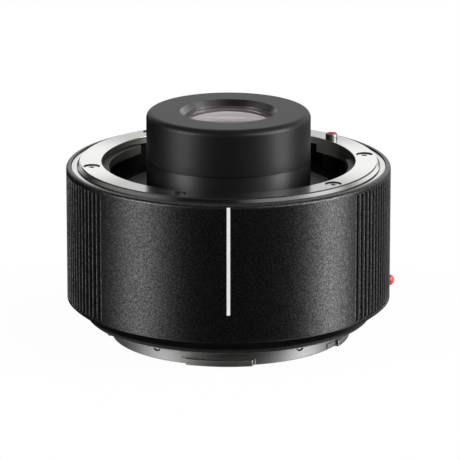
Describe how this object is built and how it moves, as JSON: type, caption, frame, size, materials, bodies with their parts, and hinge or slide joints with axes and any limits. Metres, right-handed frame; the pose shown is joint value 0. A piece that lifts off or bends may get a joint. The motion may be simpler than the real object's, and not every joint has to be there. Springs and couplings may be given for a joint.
{
  "type": "camera teleconverter",
  "caption": "Short round tube that goes between a camera body and a lens: female bayonet with a lock pin on top, hooded lens block inside, male bayonet below.",
  "frame": {"origin": "centre of the object's underside: the optical axis at the foot of the rear spigot", "axes": "+Z along the optical axis towards the lens side; -Y towards the white index line; +X towards the red index dome"},
  "size_m": [0.0748, 0.0738, 0.0521],
  "materials": {
    "grain_black": "black paint with a fine sparkling grain",
    "satin_black": "smooth satin black anodising",
    "hood_black": "satin black, turned",
    "chassis_black": "black anodised casting",
    "matt_black": "light-absorbing matt black",
    "block_black": "moulded black",
    "button_black": "satin black with fine flutes",
    "seal_rubber": "soft black",
    "steel": "bright turned finish",
    "screw_steel": "bright plated",
    "pin_steel": "polished",
    "spring_steel": "drawn wire and thin strip",
    "gold": "gold plated",
    "lens_glass": "coated, faint purple sheen",
    "flex_amber": "amber film",
    "red": "gloss red",
    "mark_white": "white paint",
    "plate_grey": "matt grey",
    "board_green": "green solder mask",
    "ring_brown": "dark brown-black anodising"
  },
  "bodies": {
    "housing": {"outer_barrel": "grain_black", "rear_trim_ring": "satin_black", "rear_seal": "seal_rubber", "front_seat_ring": "steel", "front_mount_ring": "steel", "front_mount_screws": "screw_steel", "bayonet_springs": "spring_steel", "lock_spring": "spring_steel", "chassis": "chassis_black", "front_collar": "chassis_black", "lens_deck": "chassis_black", "board_ledge": "chassis_black", "rear_foot": "chassis_black", "cavity_liner": "matt_black", "throat_plate": "plate_grey", "contact_block": "block_black", "contact_springs": "spring_steel", "front_flex": "flex_amber", "main_board": "board_green", "board_chips": "block_black", "board_screws": "screw_steel", "rear_flex": "flex_amber", "rear_contact_block": "block_black", "rear_contact_pads": "gold", "rear_bayonet": "steel", "rear_flange_screws": "screw_steel", "spigot_screws": "screw_steel", "rear_baffle": "matt_black", "front_hood": "hood_black", "lens_barrel": "hood_black", "lens_barrel_screws": "screw_steel", "front_retainer": "ring_brown", "lens_1a": "lens_glass", "lens_1b": "lens_glass", "spacer_1": "matt_black", "lens_2a": "lens_glass", "lens_2b": "lens_glass", "spacer_2": "matt_black", "lens_3a": "lens_glass", "lens_3b": "lens_glass", "spacer_3": "matt_black", "lens_4a": "lens_glass", "lens_4b": "lens_glass", "rear_retainer": "matt_black", "index_dome": "red", "index_line": "mark_white"},
    "lock_pin": {"lock_pin": "pin_steel", "lock_pin_tip": "red", "lock_cross_pin": "pin_steel"},
    "release_button": {"release_button": "button_black", "release_plate": "pin_steel"},
    "contact_pins": {"contact_pins": "gold"}
  },
  "joints": [
    {"name": "lock_retract", "type": "slide", "parent": "housing", "child": "lock_pin", "axis": [0, 0, -1], "range_m": [0, 0.0018], "stiffness_N_per_m": 500, "springref_m": -0.003, "deforming": ["lock_spring"]},
    {"name": "release_press", "type": "slide", "parent": "housing", "child": "release_button", "axis": [-0.7826, -0.6225, 0], "range_m": [0, 0.0018]},
    {"name": "contact_press", "type": "slide", "parent": "housing", "child": "contact_pins", "axis": [0, 0, -1], "range_m": [0, 0.0008], "stiffness_N_per_m": 400, "springref_m": -0.0005, "deforming": ["contact_springs"]}
  ],
  "couplings": [
    {"joint": "release_press", "follows": "lock_retract", "ratio": 1}
  ]
}
